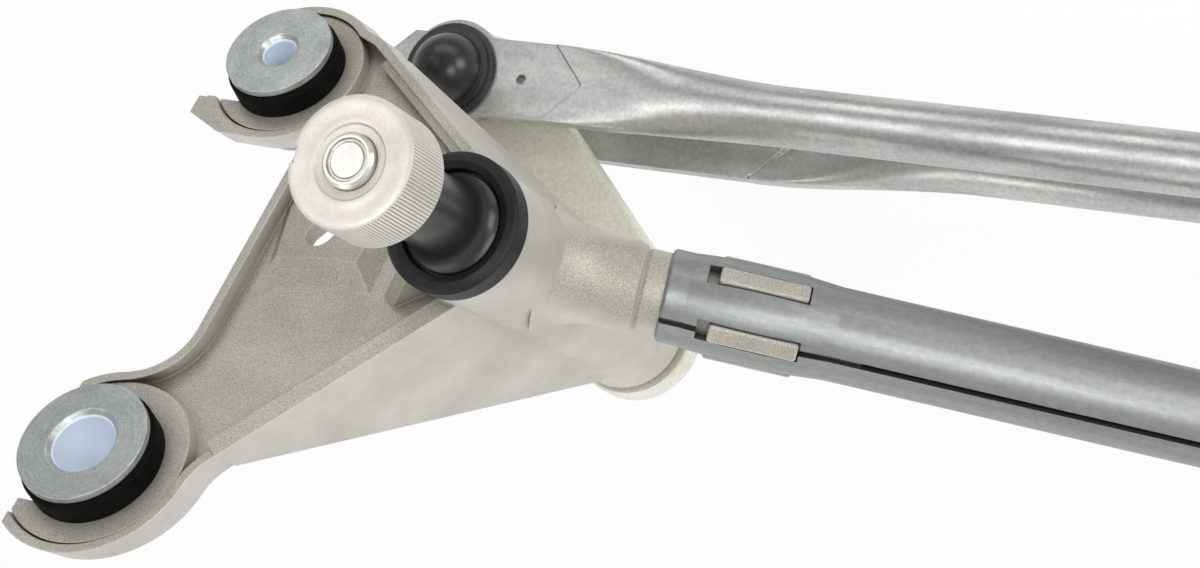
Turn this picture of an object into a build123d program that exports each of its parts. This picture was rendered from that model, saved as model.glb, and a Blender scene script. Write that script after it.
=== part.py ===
from build123d import *
import math
import os

# Wiper linkage: two die-cast pivot brackets on a bent frame tube, a motor bracket,
# two pivot shafts with knurled heads and levers, a tie link and a drive link.
# All sizes are in millimetres. Z runs along the pivot shafts, towards the knurled heads.
# X runs from the left pivot to the right one. The origin is in the middle of the left knurl.

# Overall layout
pivot_distance = 660.0
lever_radius = 67.0
lever_park_angle = 136.5
lever_sweep = 90.0

# Knurled drive head
head_radius = 12.0
head_height = 11.8
head_dish_radius = 6.9
head_dish_depth = 0.4
head_dish_slope = 40.0
knurl_teeth = 96
knurl_depth = 0.35
knurl_groove_width = 0.09
keyway_angle = 180.0
keyway_width = 3.4
keyway_depth = 1.1

# Pivot shaft and its riveted ends
shaft_radius = 6.0
rivet_radius = 5.0
rivet_rise = 1.1
rivet_groove_outer = 3.9
rivet_groove_inner = 3.3
rivet_groove_depth = 0.5
rivet_groove_slope = 0.2
rivet_centre_drop = 0.2
lower_rivet_radius = 8.0
lower_rivet_height = 2.4
rivet_edge = 0.6

# Plastic sleeve on the shaft, under the head
sleeve_radius = 7.0
sleeve_flare_radius = 9.4
sleeve_flare_length = 4.0
sleeve_foot_height = 1.4

# Rubber seal on the mouth of the pivot housing
seal_rim_z = -31.0
seal_height = 5.0
seal_rim_radius = 12.6
seal_base_radius = 13.3
seal_lip_radius = 11.4
seal_recess_radius = 10.0
seal_recess_depth = 2.6
seal_throat_radius = 8.8
seal_band_share = 0.8
seal_lip_drop = 0.5

# Pivot housing
housing_top_radius = 13.0
housing_base_radius = 12.3
housing_base_z = -110.5
bush_outer_radius = 8.0
bush_length = 16.0
bush_gap = 0.5
bush_inset = 2.0
bush_chamfer = 0.4
housing_relief_radius = 9.0
running_gap = 0.04
fit_gap = 0.05

# Washers between the housing and the lever
thrust_washer_radius = 11.0
thrust_washer_height = 2.2
thrust_washer_edge = 0.3
side_gap = 0.15
ring_radius = 7.6
ring_height = 1.2
ring_groove_depth = 0.6
ring_slot = 4.0

# Lever
lever_thickness = 5.0
lever_half_width = 12.5
lever_hub_radius = 13.3
lever_edge = 0.5

# Ball studs and sockets
ball_radius = 6.5
ball_rise = 13.1
stud_neck_radius = 4.2
stud_collar_radius = 7.0
stud_collar_height = 1.2
stud_end_height = 1.6
ball_gap = 0.06
socket_wall = 1.5
socket_flange_radius = 10.3
socket_flange_height = 1.1
socket_step_radius = 9.4
socket_step_height = 0.6
socket_collar_radius = 9.2
socket_skirt = 6.2
socket_mouth_radius = 6.1
socket_lead_radius = 7.0
gate_mark_radius = 0.7
gate_mark_height = 0.3

# Link rods, flattened at their ends
rod_radius = 6.1
rod_wall = 1.3
rod_end_half_width = 8.2
rod_end_thickness = 3.0
rod_end_edge = 1.2
rod_end_overhang = 15.0
rod_end_chamfer = 4.5
plate_over_ball = -0.35
eye_radius = 11.4
drain_hole_radius = 1.1
drain_hole_reach = 16.8
vent_reach = 6.0
tie_flat_length = 31.0
drive_flat_length = 67.0
drive_far_flat_length = 31.0
flat_to_round = 48.0
flat_point_depth = 8.0
flat_step = 0.5

# Tilted plate of the pivot bracket, with its depths measured along the pivot axis
plate_z = -48.7
plate_tilt = 23.6
rim_width = 1.8
floor_depth = 3.9
floor_thickness = 2.4
skirt_depth = 7.2
skirt_wall = 3.0
left_edge_x = -50.7
lower_corner_radius = 12.0
upper_corner_radius = 4.0

# Ears of the pivot bracket, in the plane of the plate
lower_ear_x = -56.4
lower_ear_y = -59.3
lower_ear_radius = 20.0
lower_pad_radius = 17.8
upper_ear_x = -62.3
upper_ear_y = 35.3
upper_ear_radius = 17.4
upper_pad_radius = 15.2
upper_shoulder_reach = 61.5
ear_thickness = 4.2
ear_sink = 0.7
lower_ear_reach = 12.0
upper_ear_reach = 17.0
finger_width = 8.6
finger_drop = 0.3

# Deep gusset walls of the pivot bracket
gusset_wall = 3.6
lower_arm_angle = 229.0
upper_arm_angle = 145.0
lower_top_offset = 7.4
upper_top_offset = 8.3
gusset_base_offset = 10.2
lower_gusset_reach = 59.0
upper_gusset_reach = 57.0
gusset_foot_reach = 8.0
gusset_foot_rise = 10.0

# Raised pad on the plate, with drafted sides and a top that climbs towards the housing
pad_left_x = -48.6
pad_left_y = 3.0
pad_corner_x = -46.0
pad_corner_y = -10.5
pad_middle_x = -36.0
pad_middle_y = -11.2
pad_right_x = -22.2
pad_right_y = -13.8
pad_top_y = 19.0
pad_draft = 50.0
pad_left_height = 0.8
pad_climb = 6.2
pad_height_limit = 3.3
pad_edge = 0.8

# Rib that props the housing on the plate, and the oval slot in the pad
rib_angle = 217.6
rib_reach = 22.3
rib_width = 3.4
rib_drop = 1.0
slot_radius = 3.2
slot_length = 13.0
slot_centre_x = -34.5
slot_centre_y = 4.5
slot_angle = 62.0

# Neck and spigot of the bracket, and the frame tube on the spigot
tube_start_z = -57.3
tube_slope = 25.1
tube_radius = 8.85
tube_wall = 1.5
tube_mid_z = -160.0
tube_bend_radius = 80.0
tube_end_reach = 28.9
tube_fit_gap = 0.08
flare_radius = 12.2
flare_start = 6.0
flare_end = 21.0
flare_hollow = 1.3
neck_radius = 8.6
neck_reach = 24.5
neck_edge = 0.7
shoulder_radius = 7.9
spigot_length = 38.0
lug_count = 5
tube_lip = 0.5
lug_start = 38.2
lug_length = 16.8
lug_width = 3.7
lug_rise = 1.0
lug_edge = 0.6
lug_gap = 0.3
lug_window_start = 36.0
bulge_start = 33.0
bulge_length = 28.0
bulge_rise = 0.7
seam_angle = -47.5
seam_width = 1.3

# Rubber grommets and their steel sleeves and washers
grommet_flange_height = 5.5
grommet_edge = 1.4
grommet_gap = 0.1
washer_height = 1.4
washer_overhang = 0.6
lower_grommet_radius = 13.3
lower_waist_radius = 10.2
lower_sleeve_radius = 7.6
lower_bolt_radius = 6.0
upper_grommet_radius = 11.6
upper_waist_radius = 8.4
upper_sleeve_radius = 5.0
upper_bolt_radius = 3.3
hole_edge_radius = 1.1

# Motor bracket, riveted to the middle of the frame tube
motor_plate_thickness = 3.0
motor_hole_circle = 34.0
motor_hole_count = 3
motor_hole_angle = 90.0
motor_hole_radius = 3.3
motor_boss_radius = 14.0
motor_disc_radius = 43.0
motor_rim_height = 6.0
motor_rim_width = 2.4
motor_arm_half_width = 20.0
motor_corner_radius = 7.0
saddle_half_length = 34.0
saddle_wall = 2.6
third_mount_reach = 66.0
third_ear_radius = 18.0
third_arm_half_width = 15.0
rivet_spacing = 52.0
tube_rivet_radius = 3.0
tube_rivet_head_radius = 5.5
tube_rivet_head_height = 2.2
tube_rivet_head_draft = 25.0

# Sizes worked out from the ones above
plate_cos = math.cos(math.radians(plate_tilt))
plate_sin = math.sin(math.radians(plate_tilt))
slope_cos = math.cos(math.radians(tube_slope))
slope_sin = math.sin(math.radians(tube_slope))
housing_top_z = seal_rim_z - seal_height
lever_top_z = housing_base_z - thrust_washer_height - 2 * side_gap
lever_bottom_z = lever_top_z - lever_thickness
lower_rivet_z = lever_bottom_z - fit_gap
rivet_top_z = head_height / 2 + rivet_rise
ring_groove_z = housing_top_z - bush_inset + side_gap
front_ball_z = lever_top_z + ball_rise
rear_ball_z = lever_bottom_z - ball_rise
front_rod_z = front_ball_z + plate_over_ball + flat_step - rod_radius
rear_rod_z = rear_ball_z - plate_over_ball - flat_step + rod_radius
motor_face_z = rear_rod_z - rod_radius + flat_step + rod_end_thickness
motor_ball_z = motor_face_z - plate_over_ball
park_ball_x = lever_radius * math.cos(math.radians(lever_park_angle))
park_ball_y = lever_radius * math.sin(math.radians(lever_park_angle))
far_ball_x = lever_radius * math.cos(math.radians(lever_park_angle - lever_sweep))
far_ball_y = lever_radius * math.sin(math.radians(lever_park_angle - lever_sweep))
motor_x = pivot_distance / 2
motor_y = (park_ball_y + far_ball_y) / 2
drive_link_length = motor_x - (park_ball_x + far_ball_x) / 2
tube_mid_reach = (tube_start_z - tube_mid_z) / math.tan(math.radians(tube_slope))
tube_inner_radius = tube_radius - tube_wall
spigot_radius = tube_inner_radius - tube_fit_gap
motor_plate_z = tube_mid_z + tube_radius + fit_gap
ear_top = -ear_sink * plate_cos
ear_bottom = -(ear_sink + ear_thickness) * plate_cos
lower_arm_length = math.hypot(lower_ear_x, lower_ear_y * plate_cos)
window_cut = 3 * tube_wall
socket_radius = ball_radius + ball_gap + socket_wall

# Planes that the sub-parts are drawn on
tube_axis_direction = Vector(slope_cos, 0, -slope_sin)
tube_axis_plane = Plane(origin=(0, 0, tube_start_z), x_dir=(0, -1, 0), z_dir=tube_axis_direction)
tube_side_plane = Plane(origin=(0, 0, tube_start_z), x_dir=tube_axis_direction, z_dir=(0, 1, 0))
mirror_plane = Plane.YZ.offset(pivot_distance / 2)


def write_part(builder, name):
    """Label a finished piece and write it to its own file."""
    builder.part.label = name
    export_step(builder.part, f"parts/{name}.step")


def write_mirrored(builder, name):
    """Write the same piece for the right pivot, mirrored about the middle of the linkage."""
    with BuildPart() as right_piece:
        add(mirror(builder.part, about=mirror_plane))
    write_part(right_piece, name)


def write_moved(builder, name):
    """Write the same piece for the right pivot, at the right pivot's axis."""
    with BuildPart() as right_piece:
        with Locations((pivot_distance, 0, 0)):
            add(builder.part)
    write_part(right_piece, name)


def plate_plane(depth):
    """The plane of the tilted plate, lowered along the pivot axis by this depth."""
    return Plane(origin=(0, 0, plate_z - depth), x_dir=(1, 0, 0), z_dir=(0, plate_sin, plate_cos))


def plate_height(y):
    """Height of the plate's rim over a point with this y."""
    return plate_z - y * plate_sin / plate_cos


def arm_point(arm_angle, side, reach, offset_out, z):
    """A point beside an arm: reach runs out from the pivot, offset_out to its outer side."""
    along = math.radians(arm_angle)
    across = math.radians(arm_angle + 90 * side)
    x = reach * math.cos(along) + offset_out * math.cos(across)
    y = reach * math.sin(along) + offset_out * math.sin(across)
    return Vector(x, y, z)


def plate_point(arm_angle, side, reach, offset_out):
    """The same point in the tilted plate's own plane."""
    point = arm_point(arm_angle, side, reach, offset_out, 0)
    return (point.X, point.Y / plate_cos)


def gusset_corners(arm_angle, side, top_offset, reach):
    """Corners of a gusset wall: along the plate, down its skirt, back to the housing's foot."""
    inner_z = plate_height(arm_point(arm_angle, side, 0, top_offset, 0).Y)
    outer_z = plate_height(arm_point(arm_angle, side, reach, top_offset, 0).Y)
    foot_z = housing_base_z + gusset_foot_rise
    lean = (gusset_base_offset - top_offset) / (inner_z - foot_z)
    corners = []
    for along, z in [
        (0, inner_z),
        (reach, outer_z),
        (reach, outer_z - skirt_depth),
        (gusset_foot_reach, foot_z),
        (0, foot_z),
    ]:
        edge_z = inner_z + (outer_z - inner_z) * along / reach
        corners.append(arm_point(arm_angle, side, along, top_offset + lean * (edge_z - z), z))
    return corners


def gusset_plane(corners, side):
    """The plane of a gusset wall's outer face."""
    along = (corners[1] - corners[0]).normalized()
    down = (corners[4] - corners[0]).normalized()
    return Plane(origin=corners[0], x_dir=along, z_dir=along.cross(down) * side)


os.makedirs("parts", exist_ok=True)

lower_ear = (lower_ear_x, lower_ear_y)
upper_ear = (upper_ear_x, upper_ear_y)


def plate_outline(inset):
    """Outline of the tilted plate with both ears, drawn this far inside its edge."""
    with BuildSketch() as outline:
        with BuildLine():
            Polyline(
                plate_point(lower_arm_angle, 1, 0, lower_top_offset - inset),
                plate_point(lower_arm_angle, 1, lower_arm_length, lower_top_offset - inset),
                (left_edge_x + inset, lower_ear_y),
                (left_edge_x + inset, upper_ear_y),
                (upper_ear_x, upper_ear_y + upper_ear_radius - inset),
                plate_point(upper_arm_angle, -1, upper_shoulder_reach, upper_top_offset - inset),
                plate_point(upper_arm_angle, -1, 0, upper_top_offset - inset),
                close=True,
            )
        make_face()
        with Locations(lower_ear):
            Circle(lower_ear_radius - inset)
        with Locations(upper_ear):
            Circle(upper_ear_radius - inset)
        left_corners = outline.vertices().filter_by(
            lambda corner: abs(corner.X - left_edge_x - inset) < fit_gap
        )
        fillet(left_corners.sort_by(Axis.Y)[0], lower_corner_radius + inset)
        fillet(left_corners.sort_by(Axis.Y)[-1], upper_corner_radius + inset)
        neck = (lower_ear_x + lower_ear_radius, lower_ear_y)
        fillet(outline.vertices().sort_by_distance(neck)[0], lower_corner_radius)
    return outline.sketch


# Full outline of the plate, with a finger of each ear reaching round its grommet
with BuildSketch() as plate_edge:
    add(plate_outline(0))
    with BuildLine():
        Polyline(
            (upper_ear_x, upper_ear_y - upper_ear_radius + finger_width),
            (upper_ear_x, upper_ear_y - upper_ear_radius),
            (upper_ear_x - upper_ear_reach / 2, upper_ear_y - upper_ear_radius + finger_drop),
            (upper_ear_x - upper_ear_reach, upper_ear_y - upper_ear_radius + finger_width / 2),
            (upper_ear_x - upper_ear_reach, upper_ear_y - upper_ear_radius + finger_width),
            close=True,
        )
    make_face()
    with Locations((lower_ear_x - lower_ear_reach, lower_ear_y)):
        Rectangle(
            lower_ear_radius,
            3 * lower_ear_radius,
            align=(Align.MAX, Align.CENTER),
            mode=Mode.SUBTRACT,
        )
    with Locations((upper_ear_x - upper_ear_reach, upper_ear_y)):
        Rectangle(
            upper_ear_radius,
            2 * (upper_ear_radius - finger_width),
            align=(Align.MAX, Align.CENTER),
            mode=Mode.SUBTRACT,
        )

# Sunk floor on top of the plate, inside its rim, with the pads of the ears left standing
with BuildSketch() as floor_outline:
    add(plate_outline(rim_width))
    with Locations(lower_ear):
        Circle(lower_pad_radius, mode=Mode.SUBTRACT)
    with Locations(upper_ear):
        Circle(upper_pad_radius, mode=Mode.SUBTRACT)
    Circle(housing_base_radius, mode=Mode.SUBTRACT)
floor_face = floor_outline.sketch.faces().sort_by(SortBy.AREA)[-1]

# Raised pad on the floor: drafted sides, cut off by a plane that climbs towards the housing
floor_plane = plate_plane(floor_depth)
pad_top_plane = Plane(
    origin=floor_plane.from_local_coords((pad_left_x, 0, pad_left_height)),
    x_dir=floor_plane.y_dir,
    z_dir=floor_plane.z_dir.rotate(Axis(floor_plane.origin, floor_plane.y_dir), -pad_climb),
)
with BuildPart() as raised_pad:
    with BuildSketch(floor_plane):
        with BuildLine():
            Polyline(
                (pad_left_x, pad_top_y),
                (pad_left_x, pad_left_y),
                (pad_corner_x, pad_corner_y),
                (pad_middle_x, pad_middle_y),
                (pad_right_x, pad_right_y),
                (pad_right_x, pad_top_y),
                close=True,
            )
        make_face()
    extrude(amount=pad_height_limit, taper=pad_draft)
    split(bisect_by=pad_top_plane, keep=Keep.BOTTOM)
    pad_faces = raised_pad.faces().sort_by(Axis(floor_plane.origin, floor_plane.z_dir))
    fillet(pad_faces[-1].edges(), pad_edge)

# Triangular rib that props the housing, drawn in the upright plane of its middle
rib_direction = arm_point(rib_angle, 1, 1, 0, 0)
rib_plane = Plane(origin=(0, 0, 0), x_dir=rib_direction, z_dir=rib_direction.cross(Vector(0, 0, 1)))
rib_foot_z = plate_height(arm_point(rib_angle, 1, rib_reach, 0, 0).Y) - floor_depth
rib_root_z = plate_z - floor_depth

lower_gusset = gusset_corners(lower_arm_angle, 1, lower_top_offset, lower_gusset_reach)
upper_gusset = gusset_corners(upper_arm_angle, -1, upper_top_offset, upper_gusset_reach)
lower_gusset_plane = gusset_plane(lower_gusset, 1)
upper_gusset_plane = gusset_plane(upper_gusset, -1)

# Lugs of the spigot, which stand through the windows of the frame tube
with BuildPart() as spigot_lugs:
    with BuildSketch(tube_axis_plane.offset(lug_start)):
        with PolarLocations(spigot_radius, lug_count, start_angle=seam_angle):
            Rectangle(2 * (tube_radius + lug_rise - spigot_radius), lug_width)
    extrude(amount=lug_length)
    fillet(spigot_lugs.edges(), lug_edge)

with BuildPart() as left_pivot_bracket:
    # Tilted plate with its skirt, sunk on top and hollow below, all drawn along the pivot axis
    with BuildSketch(plate_plane(0)):
        add(plate_edge.sketch)
    extrude(amount=skirt_depth, dir=(0, 0, -1))
    with BuildSketch(plate_plane(0)):
        add(floor_face)
    extrude(amount=floor_depth, dir=(0, 0, -1), mode=Mode.SUBTRACT)
    with BuildSketch(plate_plane(0)):
        with Locations(lower_ear):
            Circle(lower_pad_radius)
        with Locations(upper_ear):
            Circle(upper_pad_radius)
    extrude(amount=ear_sink, dir=(0, 0, -1), mode=Mode.SUBTRACT)
    with BuildSketch(plate_plane(floor_depth + floor_thickness)):
        add(plate_outline(skirt_wall))
        with Locations(lower_ear):
            Circle(lower_pad_radius, mode=Mode.SUBTRACT)
        with Locations(upper_ear):
            Circle(upper_pad_radius, mode=Mode.SUBTRACT)
    extrude(amount=skirt_depth, dir=(0, 0, -1), mode=Mode.SUBTRACT)
    with BuildSketch(plate_plane(ear_sink + ear_thickness)):
        with Locations(lower_ear):
            Circle(lower_pad_radius)
        with Locations(upper_ear):
            Circle(upper_pad_radius)
    extrude(amount=skirt_depth, dir=(0, 0, -1), mode=Mode.SUBTRACT)
    add(raised_pad.part)
    with BuildSketch(rib_plane):
        with BuildLine():
            Polyline(
                (rib_reach, rib_foot_z),
                (housing_base_radius, housing_top_z - rib_drop),
                (0, housing_top_z - rib_drop),
                (0, rib_root_z),
                close=True,
            )
        make_face()
    extrude(amount=rib_width / 2, both=True)

    # Gusset walls from the arms down to the foot of the housing
    with BuildSketch(lower_gusset_plane):
        with BuildLine():
            Polyline(*[lower_gusset_plane.to_local_coords(p) for p in lower_gusset], close=True)
        make_face()
    extrude(amount=-gusset_wall)
    with BuildSketch(upper_gusset_plane):
        with BuildLine():
            Polyline(*[upper_gusset_plane.to_local_coords(p) for p in upper_gusset], close=True)
        make_face()
    extrude(amount=-gusset_wall)

    # Pivot housing
    with BuildSketch(Plane.XY.offset(housing_top_z)):
        Circle(housing_top_radius)
    with BuildSketch(Plane.XY.offset(housing_base_z)):
        Circle(housing_base_radius)
    loft()

    # Flared neck, shoulder and spigot for the frame tube
    with BuildSketch(tube_side_plane):
        with BuildLine():
            flare = ThreePointArc(
                (flare_start, flare_radius),
                (
                    (flare_start + flare_end) / 2,
                    (flare_radius + neck_radius) / 2 - flare_hollow,
                ),
                (flare_end, neck_radius),
            )
            Polyline(
                flare @ 1,
                (neck_reach - neck_edge, neck_radius),
                (neck_reach, shoulder_radius - neck_edge / 2),
                (neck_reach + neck_edge, shoulder_radius),
                (tube_end_reach, shoulder_radius),
                (tube_end_reach, spigot_radius),
                (tube_end_reach + spigot_length, spigot_radius),
                (tube_end_reach + spigot_length, 0),
                (flare_start, 0),
                flare @ 0,
            )
        make_face()
    revolve(axis=Axis(tube_side_plane.origin, tube_axis_direction))
    add(spigot_lugs.part)

    # Bore with a seat for a bush at each end
    with BuildSketch(Plane.XY.offset(housing_top_z)):
        Circle(bush_outer_radius + fit_gap)
    extrude(amount=housing_base_z - housing_top_z, mode=Mode.SUBTRACT)
    with BuildSketch(Plane.XY.offset(housing_top_z - bush_length - bush_gap)):
        Circle(housing_relief_radius)
    extrude(
        amount=housing_base_z - housing_top_z + 2 * (bush_length + bush_gap),
        mode=Mode.SUBTRACT,
    )

    # Notches that the grommets slide into, and the oval slot in the pad
    with BuildSketch(plate_plane(0)):
        with Locations(lower_ear):
            Circle(lower_waist_radius + grommet_gap)
            Rectangle(
                2 * lower_ear_radius,
                2 * (lower_waist_radius + grommet_gap),
                align=(Align.MAX, Align.CENTER),
            )
        with Locations(upper_ear):
            Circle(upper_waist_radius + grommet_gap)
            Rectangle(
                2 * upper_ear_radius,
                2 * (upper_waist_radius + grommet_gap),
                align=(Align.MAX, Align.CENTER),
            )
        with Locations((slot_centre_x, slot_centre_y)):
            SlotCenterToCenter(slot_length, 2 * slot_radius, rotation=slot_angle)
    extrude(amount=-2 * skirt_depth, mode=Mode.SUBTRACT)
write_part(left_pivot_bracket, "left_pivot_bracket")
write_mirrored(left_pivot_bracket, "right_pivot_bracket")

# Frame tube: rolled with an open seam, bent in one plane, mirrored about its middle
with BuildLine() as tube_path:
    FilletPolyline(
        tube_axis_plane.from_local_coords((0, 0, tube_end_reach)),
        (tube_mid_reach, 0, tube_mid_z),
        (pivot_distance / 2, 0, tube_mid_z),
        radius=tube_bend_radius,
    )

with BuildPart() as frame_tube:
    with BuildSketch(tube_axis_plane.offset(tube_end_reach)):
        Circle(tube_radius)
        Circle(tube_inner_radius, mode=Mode.SUBTRACT)
        with PolarLocations(tube_radius, 1, start_angle=seam_angle):
            Rectangle(window_cut, seam_width, mode=Mode.SUBTRACT)
    sweep(path=tube_path.wires()[0])
    round_edges = frame_tube.edges().filter_by(GeomType.CIRCLE)
    outer_edges = round_edges.filter_by(lambda edge: abs(edge.radius - tube_radius) < fit_gap)
    chamfer(outer_edges.sort_by_distance((0, 0, tube_start_z))[0], tube_lip)
    # Swelling where the lugs of the spigot hold the tube
    with BuildSketch(tube_side_plane):
        with BuildLine():
            crown = ThreePointArc(
                (bulge_start, tube_radius),
                (bulge_start + bulge_length / 2, tube_radius + bulge_rise),
                (bulge_start + bulge_length, tube_radius),
            )
            Polyline(
                crown @ 0,
                (bulge_start, tube_radius - tube_wall / 2),
                (bulge_start + bulge_length, tube_radius - tube_wall / 2),
                crown @ 1,
            )
        make_face()
    revolve(axis=Axis(tube_side_plane.origin, tube_axis_direction))
    with BuildSketch(tube_axis_plane.offset(bulge_start)):
        with PolarLocations(tube_radius, 1, start_angle=seam_angle):
            Rectangle(window_cut, seam_width)
    extrude(amount=bulge_length, mode=Mode.SUBTRACT)
    # Windows that the lugs stand in, and holes for the rivets of the motor bracket
    with BuildSketch(tube_axis_plane.offset(lug_window_start)):
        with PolarLocations(tube_radius, lug_count, start_angle=seam_angle):
            Rectangle(window_cut, lug_width + 2 * lug_gap)
    extrude(amount=lug_start + lug_length + lug_gap - lug_window_start, mode=Mode.SUBTRACT)
    with BuildSketch(Plane.XY.offset(tube_mid_z)):
        with Locations((motor_x - rivet_spacing / 2, 0)):
            Circle(tube_rivet_radius + fit_gap)
    extrude(amount=2 * tube_radius, both=True, mode=Mode.SUBTRACT)
    mirror(about=mirror_plane)
write_part(frame_tube, "frame_tube")


def motor_outline(inset):
    """Outline of the motor bracket, drawn this far inside its edge but open over the tube."""
    with BuildSketch() as outline:
        with Locations((motor_x, motor_y)):
            Circle(motor_disc_radius - inset)
            Rectangle(
                2 * (third_arm_half_width - inset),
                third_mount_reach,
                align=(Align.CENTER, Align.MIN),
            )
        with Locations((motor_x, motor_y + third_mount_reach)):
            Circle(third_ear_radius - inset)
        with Locations((motor_x, -tube_radius - saddle_wall)):
            Rectangle(
                2 * (motor_arm_half_width - inset),
                motor_y,
                align=(Align.CENTER, Align.MIN),
            )
        arm_corners = outline.vertices().filter_by(lambda corner: corner.Y > 0)
        fillet(arm_corners, motor_corner_radius)
    return outline.sketch


# Motor bracket: a pressed plate with a raised rim, a saddle on the tube and a forked ear
third_ear = (motor_x, motor_y + third_mount_reach)
with BuildPart() as motor_bracket:
    with BuildSketch(Plane.XY.offset(motor_plate_z)):
        add(motor_outline(0))
    extrude(amount=motor_plate_thickness)
    with BuildSketch(Plane.XY.offset(motor_plate_z)):
        add(motor_outline(0))
        add(motor_outline(motor_rim_width), mode=Mode.SUBTRACT)
    extrude(amount=motor_plate_thickness + motor_rim_height)
    with BuildSketch(Plane.YZ.offset(motor_x - saddle_half_length)):
        with Locations((0, tube_mid_z)):
            Circle(tube_radius + fit_gap + saddle_wall)
            Circle(tube_radius + fit_gap, mode=Mode.SUBTRACT)
            Rectangle(
                4 * tube_radius,
                2 * tube_radius,
                align=(Align.CENTER, Align.MAX),
                mode=Mode.SUBTRACT,
            )
    extrude(amount=2 * saddle_half_length)
    with BuildSketch(Plane.XY.offset(tube_mid_z)):
        with Locations((motor_x, motor_y)):
            Circle(motor_boss_radius)
            with PolarLocations(motor_hole_circle, motor_hole_count, start_angle=motor_hole_angle):
                Circle(motor_hole_radius)
        with Locations((motor_x, 0)):
            with GridLocations(rivet_spacing, 0, 2, 1):
                Circle(tube_rivet_radius + fit_gap)
        with Locations(third_ear):
            Circle(upper_waist_radius + grommet_gap)
            Rectangle(
                2 * (upper_waist_radius + grommet_gap),
                2 * third_ear_radius,
                align=(Align.CENTER, Align.MIN),
            )
    extrude(amount=4 * tube_radius, mode=Mode.SUBTRACT)
write_part(motor_bracket, "motor_bracket")

# Two rivets that hold the motor bracket on the tube
rivet_top = motor_plate_z + saddle_wall
rivet_bottom = tube_mid_z - tube_radius
with BuildPart() as motor_bracket_rivets:
    with BuildSketch(Plane.XY.offset(rivet_bottom)):
        with Locations((motor_x, 0)):
            with GridLocations(rivet_spacing, 0, 2, 1):
                Circle(tube_rivet_radius)
    extrude(amount=rivet_top - rivet_bottom)
    for head_z, head_side in ((rivet_top, 1), (rivet_bottom, -1)):
        with BuildSketch(Plane.XY.offset(head_z)):
            with Locations((motor_x, 0)):
                with GridLocations(rivet_spacing, 0, 2, 1):
                    Circle(tube_rivet_head_radius)
        extrude(amount=head_side * tube_rivet_head_height, taper=tube_rivet_head_draft)
write_part(motor_bracket_rivets, "motor_bracket_rivets")

# Bearing bushes at both ends of the housing
with BuildPart() as upper_bush:
    with BuildSketch(Plane.XY.offset(housing_top_z - bush_inset)):
        Circle(bush_outer_radius)
        Circle(shaft_radius + running_gap, mode=Mode.SUBTRACT)
    extrude(amount=-bush_length)
    chamfer(upper_bush.edges().filter_by(GeomType.CIRCLE), bush_chamfer)
write_part(upper_bush, "left_upper_bush")
write_moved(upper_bush, "right_upper_bush")

with BuildPart() as lower_bush:
    with BuildSketch(Plane.XY.offset(housing_base_z)):
        Circle(bush_outer_radius)
        Circle(shaft_radius + running_gap, mode=Mode.SUBTRACT)
    extrude(amount=bush_length)
    chamfer(lower_bush.edges().filter_by(GeomType.CIRCLE), bush_chamfer)
write_part(lower_bush, "left_lower_bush")
write_moved(lower_bush, "right_lower_bush")

# Rubber seal on the mouth of the housing, open in the middle for the sleeve
with BuildPart() as seal:
    with BuildSketch(Plane.XZ):
        with BuildLine():
            Polyline(
                (seal_throat_radius, housing_top_z),
                (seal_base_radius, housing_top_z),
                (seal_base_radius, housing_top_z + seal_height * seal_band_share),
                (seal_rim_radius, seal_rim_z - seal_lip_drop),
                (seal_lip_radius, seal_rim_z),
                (seal_recess_radius, seal_rim_z - seal_lip_drop),
                (seal_recess_radius, seal_rim_z - seal_recess_depth),
                (seal_throat_radius, seal_rim_z - seal_recess_depth),
                close=True,
            )
        make_face()
    revolve(axis=Axis.Z)
write_part(seal, "left_seal")
write_moved(seal, "right_seal")

# Pivot shaft, with a riveted end above the head and another below the lever
with BuildPart() as pivot_shaft:
    with BuildSketch(Plane.XZ):
        with BuildLine():
            Polyline(
                (0, lower_rivet_z - lower_rivet_height),
                (lower_rivet_radius - rivet_edge, lower_rivet_z - lower_rivet_height),
                (lower_rivet_radius, lower_rivet_z - lower_rivet_height + rivet_edge),
                (lower_rivet_radius, lower_rivet_z),
                (shaft_radius, lower_rivet_z),
                (shaft_radius, ring_groove_z),
                (shaft_radius - ring_groove_depth, ring_groove_z),
                (shaft_radius - ring_groove_depth, ring_groove_z + ring_height + side_gap),
                (shaft_radius, ring_groove_z + ring_height + side_gap),
                (shaft_radius, -head_height / 2),
                (rivet_radius, -head_height / 2),
                (rivet_radius, rivet_top_z - rivet_edge),
                (rivet_radius - rivet_edge, rivet_top_z),
                (rivet_groove_outer, rivet_top_z),
                (rivet_groove_outer - rivet_groove_slope, rivet_top_z - rivet_groove_depth),
                (rivet_groove_inner, rivet_top_z - rivet_groove_depth),
                (rivet_groove_inner - rivet_groove_slope, rivet_top_z - rivet_centre_drop),
                (0, rivet_top_z - rivet_centre_drop),
                close=True,
            )
        make_face()
    revolve(axis=Axis.Z)
write_part(pivot_shaft, "left_pivot_shaft")
write_moved(pivot_shaft, "right_pivot_shaft")

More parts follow.
